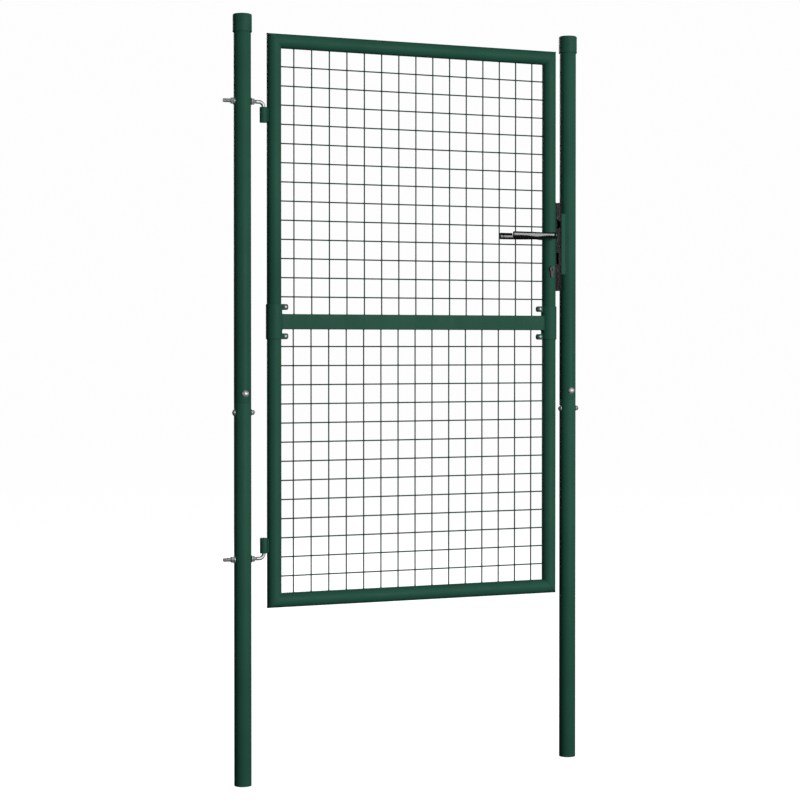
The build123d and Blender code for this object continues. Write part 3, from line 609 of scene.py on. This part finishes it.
# knuckles: a turned barrel on each hook and the two weld beads that hold it to the stile
stile_low, stile_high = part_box("upper_hinge_stile")
hinge_stile_x = (stile_low.x + stile_high.x) / 2
frame_radius = (stile_high.x - stile_low.x) / 2
hinge_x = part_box("upper_hinge_hook")[1].x - hook_radius
knuckle_bore = 5.08 * MM
knuckle_rim = 0.6 * MM
bead_radius = 2.3 * MM
bead_sunk = 1.0 * MM
bead_inset = 2 * MM
bead_steps = 60
for node in ("upper_hinge_knuckle", "lower_hinge_knuckle"):
    low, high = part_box(node)
    radius = hinge_x - low.x
    place = turned(Vector((hinge_x, 0, 0)), Z, X)
    knuckle = Shape().tube(place, radius, radius - knuckle_bore, low.z, high.z, knuckle_rim, knuckle_rim, 72)
    # each bead's centre is where circles about the knuckle and the stile cross
    to_knuckle = radius + bead_radius - bead_sunk
    to_stile = frame_radius + bead_radius - bead_sunk
    gap = hinge_stile_x - hinge_x
    along = (to_knuckle**2 - to_stile**2 + gap**2) / (2 * gap)
    across = sqrt(to_knuckle**2 - along**2)
    bead_low = low.z + bead_inset
    bead_long = high.z - low.z - 2 * bead_inset
    for side in (-1, 1):
        path = []
        for step in range(bead_steps + 1):
            path.append(Vector((hinge_x + along, side * across, bead_low + bead_long * step / bead_steps)))
        knuckle.bead(path, bead_radius, ripple=0.12)
    knuckle.make(f"{node}_welded", "gate_leaf", "green_coat", [node])

# ---------------------------------------------------------------- leaf frame
top_low, top_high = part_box("top_rail")
bottom_low, bottom_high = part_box("bottom_rail")
top_z = (top_low.z + top_high.z) / 2
bottom_z = (bottom_low.z + bottom_high.z) / 2
latch_low, latch_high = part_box("lower_latch_stile")
latch_stile_x = (latch_low.x + latch_high.x) / 2
mid_z = latch_high.z
RAILS = (("top", top_z, 1), ("bottom", bottom_z, -1))  # name, height, 1 up or -1 down
STILES = (("hinge", hinge_stile_x, 1), ("latch", latch_stile_x, -1))  # name, place, side the leaf is on

for part, rail_z, up in RAILS:
    place = turned(Vector((0, 0, rail_z)), X, Z)
    rail = Shape().tube(
        place, frame_radius, wall,
        lambda u, v: hinge_stile_x - up * u,
        lambda u, v: latch_stile_x + up * u,
    )
    rail.make(f"{part}_rail_mitred", "gate_leaf", "green_coat", [f"{part}_rail"])

stiles = {}
for side_name, stile_x, side in STILES:
    place = turned(Vector((stile_x, 0, 0)), Z, X)
    upper = Shape().tube(place, frame_radius, wall, mid_z, lambda u, v: top_z - side * u, rim, 0)
    lower = Shape().tube(place, frame_radius, wall, lambda u, v: bottom_z + side * u, mid_z, 0, rim)
    for part, stile in (("upper", upper), ("lower", lower)):
        node = f"{part}_{side_name}_stile"
        stiles[node] = stile.make(f"{node}_mitred", "gate_leaf", "green_coat", [node])

# ground weld seams round the four mitres
seam_steps = 120
seam_reach = frame_radius - 0.35 * MM
for part, rail_z, up in RAILS:
    for side_name, stile_x, side in STILES:
        path = []
        for step in range(seam_steps):
            angle = 2 * pi * step / seam_steps
            across = seam_reach * cos(angle)
            path.append(Vector((stile_x + across, seam_reach * sin(angle), rail_z - up * side * across)))
        seam = Shape().bead(path, 0.75 * MM, True, 0.14, 1.9 * MM, 8)
        seam.make(f"{part}_{side_name}_mitre_weld", "gate_leaf", "green_coat")


# ---------------------------------------------------------------- openings and holes
def euro_outline(stem_low, head, stem, head_z, y, x):
    """Outline of a profile cylinder in a plane square to Y: a round head on a narrower round-ended stem."""
    head_steps = 28
    stem_steps = 12
    points = []
    reach = asin(stem / head)
    for step in range(head_steps + 1):
        angle = -pi / 2 + reach + (2 * pi - 2 * reach) * step / head_steps
        points.append(Vector((x + head * cos(angle), y, head_z + head * sin(angle))))
    for step in range(stem_steps + 1):
        angle = pi + pi * step / stem_steps
        points.append(Vector((x + stem * cos(angle), y, stem_low + stem + stem * sin(angle))))
    return points


# the latch stile's openings for the forend, the spindle and the cylinder
spindle_low, spindle_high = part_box("spindle")
spindle_x = (spindle_low.x + spindle_high.x) / 2
spindle_z = (spindle_low.z + spindle_high.z) / 2
body_low, body_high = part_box("cylinder_body")
forend_low, forend_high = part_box("lock_forend")
past_stile = 30 * MM
forend_slack = 0.2 * MM
cylinder_slack = 0.4 * MM
spindle_hole = 6.5 * MM
cylinder_stem = 5 * MM
cylinder_head = (body_high.x - body_low.x) / 2
openings = Shape()
slot_low = Vector((forend_low.x, -past_stile, forend_low.z - forend_slack))
slot_high = Vector((forend_high.x + 10 * MM, past_stile, forend_high.z + forend_slack))
block(openings, slot_low, slot_high)
rod(openings, Vector((spindle_x, -past_stile, spindle_z)), Y, X, spindle_hole, 2 * past_stile, 48)
openings.skin([
    euro_outline(body_low.z - cylinder_slack, cylinder_head + cylinder_slack,
                 cylinder_stem + cylinder_slack, body_high.z - cylinder_head, y, spindle_x)
    for y in (-past_stile, past_stile)
])
cut(stiles["upper_latch_stile"], openings)

# holes in the posts for the bolts and the hooks
past_post = 40 * MM
bolt_hole = 4.25 * MM
hook_hole = 5.25 * MM
for post, post_x in post_axes.items():
    for part, bolt_z, along, across, rod_z in (
        ("upper_tube", front_z, Y, X, upper_rod_z),
        ("lower_tube", side_z, X, Y, lower_rod_z),
    ):
        bolt_start = Vector((post_x, 0, bolt_z)) - along * past_post
        holes = rod(Shape(), bolt_start, along, across, bolt_hole, 2 * past_post)
        if post == "hinge_post":
            rod(holes, Vector((-past_post, 0, rod_z)), X, Y, hook_hole, 2 * past_post)
        cut(post_tubes[f"{post}_{part}"], holes)

# ---------------------------------------------------------------- mid rail
rail_low, rail_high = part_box("mid_rail")
clamp_radius = hinge_stile_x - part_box("hinge_side_clamp")[0].x
half_y = rail_high.y
half_z = (rail_high.z - rail_low.z) / 2
outer_corner = 2.4 * MM
inner_corner = 0.9 * MM


def rounded_rectangle(half_y, half_z, corner):
    """Points (y, z) round a rectangle with rounded corners."""
    steps = 7
    points = []
    for quarter, (sy, sz) in enumerate(((1, 1), (-1, 1), (-1, -1), (1, -1))):
        for step in range(steps + 1):
            angle = pi / 2 * (quarter + step / steps)
            points.append((sy * (half_y - corner) + corner * cos(angle),
                           sz * (half_z - corner) + corner * sin(angle)))
    return points


def cope(y, stile_x, side):
    """Where the rail meets the clamp's round sleeve at one depth."""
    return stile_x + side * sqrt(clamp_radius**2 - y**2)


def coped_row(outline, stile_x, side):
    return [Vector((cope(y, stile_x, side), y, mid_z + z)) for y, z in outline]


def coped_weld_path(stile_x, side):
    """The weld's route round the rail's end, with points closer together than the ripples."""
    spacing = 0.9 * MM
    outline = rounded_rectangle(half_y + 0.1 * MM, half_z + 0.1 * MM, 2.5 * MM)
    path = []
    for index, (y, z) in enumerate(outline):
        next_y, next_z = outline[(index + 1) % len(outline)]
        pieces = max(1, round(sqrt((next_y - y)**2 + (next_z - z)**2) / spacing))
        for step in range(pieces):
            share = step / pieces
            here_y = y + (next_y - y) * share
            here_z = z + (next_z - z) * share
            path.append(Vector((cope(here_y, stile_x, side) + side * 0.3 * MM, here_y, mid_z + here_z)))
    return path


outer = rounded_rectangle(half_y, half_z, outer_corner)
inner = rounded_rectangle(half_y - wall, half_z - wall, inner_corner)
rings = [coped_row(outer, stile_x, side) for _, stile_x, side in STILES]
rings += [coped_row(inner, stile_x, side) for _, stile_x, side in reversed(STILES)]
rail = Shape().skin(rings, loop=True)
for _, stile_x, side in STILES:
    rail.bead(coped_weld_path(stile_x, side), 1.15 * MM, True, 0.12, 2.1 * MM, 8)
rail.make("mid_rail_coped", "gate_leaf", "green_coat", ["mid_rail"])

# clamp bolts, washers and nuts
bolt_low, bolt_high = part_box("clamp_bolts")
washer_low, washer_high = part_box("clamp_washers")
nut_low, nut_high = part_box("clamp_nuts")
clamp_shank = 3 * MM
clamp_head = 5.5 * MM
clamp_pitch = 1.0 * MM
clamp_thread = 3.6 * MM
clamp_washer = 6 * MM
clamp_washer_bore = 3.2 * MM
clamp_nut_flats = 10 * MM
clamp_nut_bore = 2.7 * MM
ear_face = washer_low.y
bolts, washers, nuts = Shape(), Shape(), Shape()
for bolt_x in (bolt_low.x + clamp_head, bolt_high.x - clamp_head):
    for bolt_z in (bolt_low.z + clamp_head, bolt_high.z - clamp_head):
        front = turned(Vector((bolt_x, -ear_face, bolt_z)), Y, X)
        domed_bolt(bolts, front, clamp_shank, bolt_high.y + ear_face, clamp_head,
                   -bolt_low.y - ear_face, clamp_pitch, clamp_thread)
        behind = turned(Vector((bolt_x, ear_face, bolt_z)), Y, X)
        washer(washers, behind, clamp_washer, clamp_washer_bore, washer_high.y - washer_low.y)
        seat = turned(Vector((bolt_x, nut_low.y, bolt_z)), Y, X)
        hex_nut(nuts, seat, clamp_nut_flats, clamp_nut_bore, nut_high.y - nut_low.y)
bolts.make("clamp_domed_bolts", "gate_leaf", "zinc", ["clamp_bolts"])
washers.make("clamp_plain_washers", "gate_leaf", "zinc", ["clamp_washers"])
nuts.make("clamp_hex_nuts", "gate_leaf", "zinc", ["clamp_nuts"])

# ---------------------------------------------------------------- mesh panels
wire_radius = 1.75 * MM
wire_sunk = 0.35 * MM
wire_pitch = 50 * MM
uprights = 15
levels = 13


def wire(shape, place, start, end, crossings):
    """A coated wire with the coat drawn up at its crossings and a small fillet where it is welded in."""
    stations = {}

    def mark(height, radius):
        """Note the widest radius asked for at a height between the wire's ends."""
        key = round(height, 7)
        if start <= height <= end:
            stations[key] = max(radius, stations.get(key, 0))

    for crossing in crossings:
        for offset in (-3.2, -2.2, -1.5, -0.8, 0.0, 0.8, 1.5, 2.2, 3.2):
            mark(crossing + offset * MM, wire_radius * (1 + 0.17 * exp(-(offset / 1.5) ** 2)))
    for offset in (0.0, 0.5, 1.0, 1.7, 2.8, 4.2):
        swell = wire_radius * (1 + 0.75 * exp(-offset / 0.75))
        mark(start + offset * MM, swell)
        mark(end - offset * MM, swell)
    shape.turn(place, [(stations[height], height) for height in sorted(stations)], 12)


side_low = hinge_stile_x + frame_radius - wire_sunk
side_high = latch_stile_x - frame_radius + wire_sunk
# first upright, first level wire, 1 where the uprights are behind and -1 in front, lower and upper end
panels = {
    "upper_mesh": (142 * MM, 1270 * MM, -1, rail_high.z - wire_sunk, top_z - frame_radius + wire_sunk),
    "lower_mesh": (141 * MM, 540 * MM, 1, bottom_z + frame_radius - wire_sunk, rail_low.z + wire_sunk),
}
for node, (first_x, first_z, depth, z_low, z_high) in panels.items():
    panel = Shape()
    offset = depth * (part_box(node)[1].y - wire_radius)
    columns = [first_x + wire_pitch * index for index in range(uprights)]
    rows = [first_z + wire_pitch * index for index in range(levels)]
    for x in columns:
        wire(panel, turned(Vector((x, offset, 0)), Z, X), z_low, z_high, rows)
    for z in rows:
        wire(panel, turned(Vector((0, -offset, z)), X, Y), side_low, side_high, columns)
    panel.make(f"{node}_wires", "gate_leaf", "green_wire", [node], 60)


# ---------------------------------------------------------------- levers
# neck sections: depth past the neck's inner end and radius, in millimetres
NECK = ((0, 7.4), (0.4, 8.0), (1.2, 8.2), (4.5, 8.2), (7.5, 8.2), (10.5, 8.5), (12.6, 8.9))
# blade sections of the front lever: reach from the spindle, half thickness, height above and below the
# axis, in millimetres. The rear lever is the same turned half round, so there above and below change places.
BLADE = (
    (13, 4.5, 7.9, 7.7), (19, 4.4, 7.4, 7.0), (27, 4.3, 7.5, 7.3), (36, 4.3, 7.8, 8.8),
    (46, 4.3, 8.1, 11.0), (56, 4.3, 8.4, 12.0), (66, 4.3, 8.6, 11.8), (76, 4.35, 8.7, 10.6),
    (88, 4.45, 8.8, 9.3), (102, 4.6, 8.9, 8.9), (116, 4.7, 9.0, 8.9), (128.0, 4.7, 9.0, 9.0),
    (130.4, 4.3, 8.4, 8.4), (131.6, 3.5, 7.6, 7.6), (132.0, 2.4, 6.2, 6.2),
)


def lever(node, side):
    """A lever handle: a flared neck that bends into a blade with a soft belly, which is on top at the rear."""
    low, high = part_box(node)
    blade_out = high.y if side > 0 else -low.y
    neck_in = low.y if side > 0 else -high.y
    half_thick = 4.75 * MM
    blade_y = blade_out - half_thick
    bend = 8.3 * MM
    ridge_high = 3.2 * MM
    bend_steps = 10
    count = 48
    rings = []

    def section(x, y, direction, half_across, up, down, ridge=0.0):
        """An oval section, widest at its ridge, whose upper and lower halves may differ."""
        across = Z.cross(direction)
        points = []
        for step in range(count):
            angle = 2 * pi * step / count
            half = up - ridge if sin(angle) >= 0 else down + ridge
            wide = half_across * cos(angle)
            tall = ridge + half * sin(angle)
            points.append(Vector((x, side * y, spindle_z)) + across * wide - Z * side * tall)
        rings.append(points)

    away = Y * side
    for depth, radius in NECK:
        size = radius * MM
        section(spindle_x, neck_in + depth * MM, away, size, size, size)
    for step in range(1, bend_steps + 1):
        share = step / bend_steps
        angle = pi / 2 * share
        x = spindle_x - bend + bend * cos(angle)
        y = blade_y - bend + bend * sin(angle)
        direction = (-X * sin(angle) + away * cos(angle)).normalized()
        ease = share * share * (3 - 2 * share)
        tall = (9.2 - 0.6 * ease) * MM
        section(x, y, direction, (8.3 - 3.7 * ease) * MM, tall, tall, ridge_high * ease)
    for reach, thick, up, down in BLADE:
        section(spindle_x - reach * MM, blade_y, -X, thick * MM, up * MM, down * MM, ridge_high)
    Shape().skin(rings).make(f"{node}_moulded", "handle", "black_gloss", [node], 50)


lever("front_lever", -1)
lever("rear_lever", 1)

# ---------------------------------------------------------------- strike welds
box_low, box_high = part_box("strike_box")
half_box = box_high.y
weld_reach = post_radius + 0.1 * MM
steps_up = 150
steps_across = 36


def on_post(y, z):
    """A point on the latch post's surface, on the side of the leaf."""
    return Vector((latch_post_x - sqrt(weld_reach**2 - y**2), y, z))


path = []
for side, z_from, z_to in ((-1, box_low.z, box_high.z), (1, box_high.z, box_low.z)):
    for step in range(steps_up):
        path.append(on_post(side * half_box, z_from + (z_to - z_from) * step / steps_up))
    for step in range(steps_across):
        path.append(on_post(side * half_box * (1 - 2 * step / steps_across), z_to))
weld = Shape().bead(path, 1.5 * MM, True, 0.12, 2.4 * MM, 8)
weld.make("strike_box_weld", "posts", "green_coat")

# ---------------------------------------------------------------- stage
# The floor and the world glow white for the camera and are left out of reflections and bounced light.
glow = 0.985
floor_half = 30.0
scene = bpy.context.scene
scene.view_settings.view_transform = "Standard"
scene.view_settings.look = "None"

floor_mesh = bpy.data.meshes.new("floor")
floor_corners = [(-1, -1), (1, -1), (1, 1), (-1, 1)]
floor_mesh.from_pydata([(floor_half * x, floor_half * y, 0) for x, y in floor_corners], [], [(0, 1, 2, 3)])
floor = linked("floor", floor_mesh)
floor_material, floor_nodes = new_nodes("pale_floor")
floor_tone = floor_nodes.ramp(floor_nodes.noise(1.2), [(0.3, (0.2, 0.2, 0.2)), (0.7, (0.22, 0.22, 0.22))])
floor_rough = floor_nodes.spread(floor_nodes.noise(3), 0.3, 0.7, 0.85, 0.95)
floor_grain = floor_nodes.bump(floor_nodes.noise(60), 0.0002, 0.1)
floor_nodes.finish(floor_tone, floor_rough, floor_grain)
floor_nodes.set(Specular_IOR_Level=0.1, Emission_Color=(1, 1, 1, 1), Emission_Strength=glow)
floor_mesh.materials.append(floor_material)
floor.visible_diffuse = False
floor.visible_glossy = False

world = bpy.data.worlds.new("studio")
scene.world = world
world.use_nodes = True
backdrop = world.node_tree.nodes["Background"]
backdrop.inputs["Color"].default_value = (1, 1, 1, 1)
backdrop.inputs["Strength"].default_value = glow
world.cycles_visibility.diffuse = False
world.cycles_visibility.glossy = False

# ---------------------------------------------------------------- lights and camera
middle = (cad_low + cad_high) / 2


def softbox(name, azimuth, elevation, distance, width, height, power):
    """A rectangular light that faces the middle of the gate. Azimuth 0 is straight in front."""
    turn = radians(azimuth)
    rise = radians(elevation)
    back = Vector((sin(turn) * cos(rise), -cos(turn) * cos(rise), sin(rise)))
    data = bpy.data.lights.new(name, "AREA")
    data.shape = "RECTANGLE"
    data.size = width
    data.size_y = height
    data.energy = power
    light = linked(name, data)
    light.location = middle + back * distance
    light.rotation_mode = "QUATERNION"
    light.rotation_quaternion = back.to_track_quat("Z", "Y")


# name, azimuth and elevation in degrees, distance, width and height in metres, power in watts
softbox("key", 16, 7, 8.0, 5.5, 4.5, 745)
softbox("left_fill", -75, 10, 6.0, 3.0, 3.0, 50)
softbox("right_fill", 80, 10, 6.0, 3.0, 3.0, 50)
softbox("back_fill", 180, 20, 6.0, 4.0, 3.0, 230)
softbox("top", 0, 88, 5.0, 3.0, 3.0, 30)

camera_place = (-1.7677, -5.0098, 1.140)
camera_heading = -23.84
camera_down = 0.7
camera_data = bpy.data.cameras.new("camera")
camera_data.sensor_width = 36.0
camera_data.lens = 92.0
camera_data.shift_y = -0.0356
camera_data.dof.use_dof = False
camera_data.clip_start = 0.05
camera_data.clip_end = 100.0
camera = linked("camera", camera_data)
camera.location = camera_place
camera.rotation_euler = (radians(90 - camera_down), 0, radians(camera_heading))
scene.camera = camera
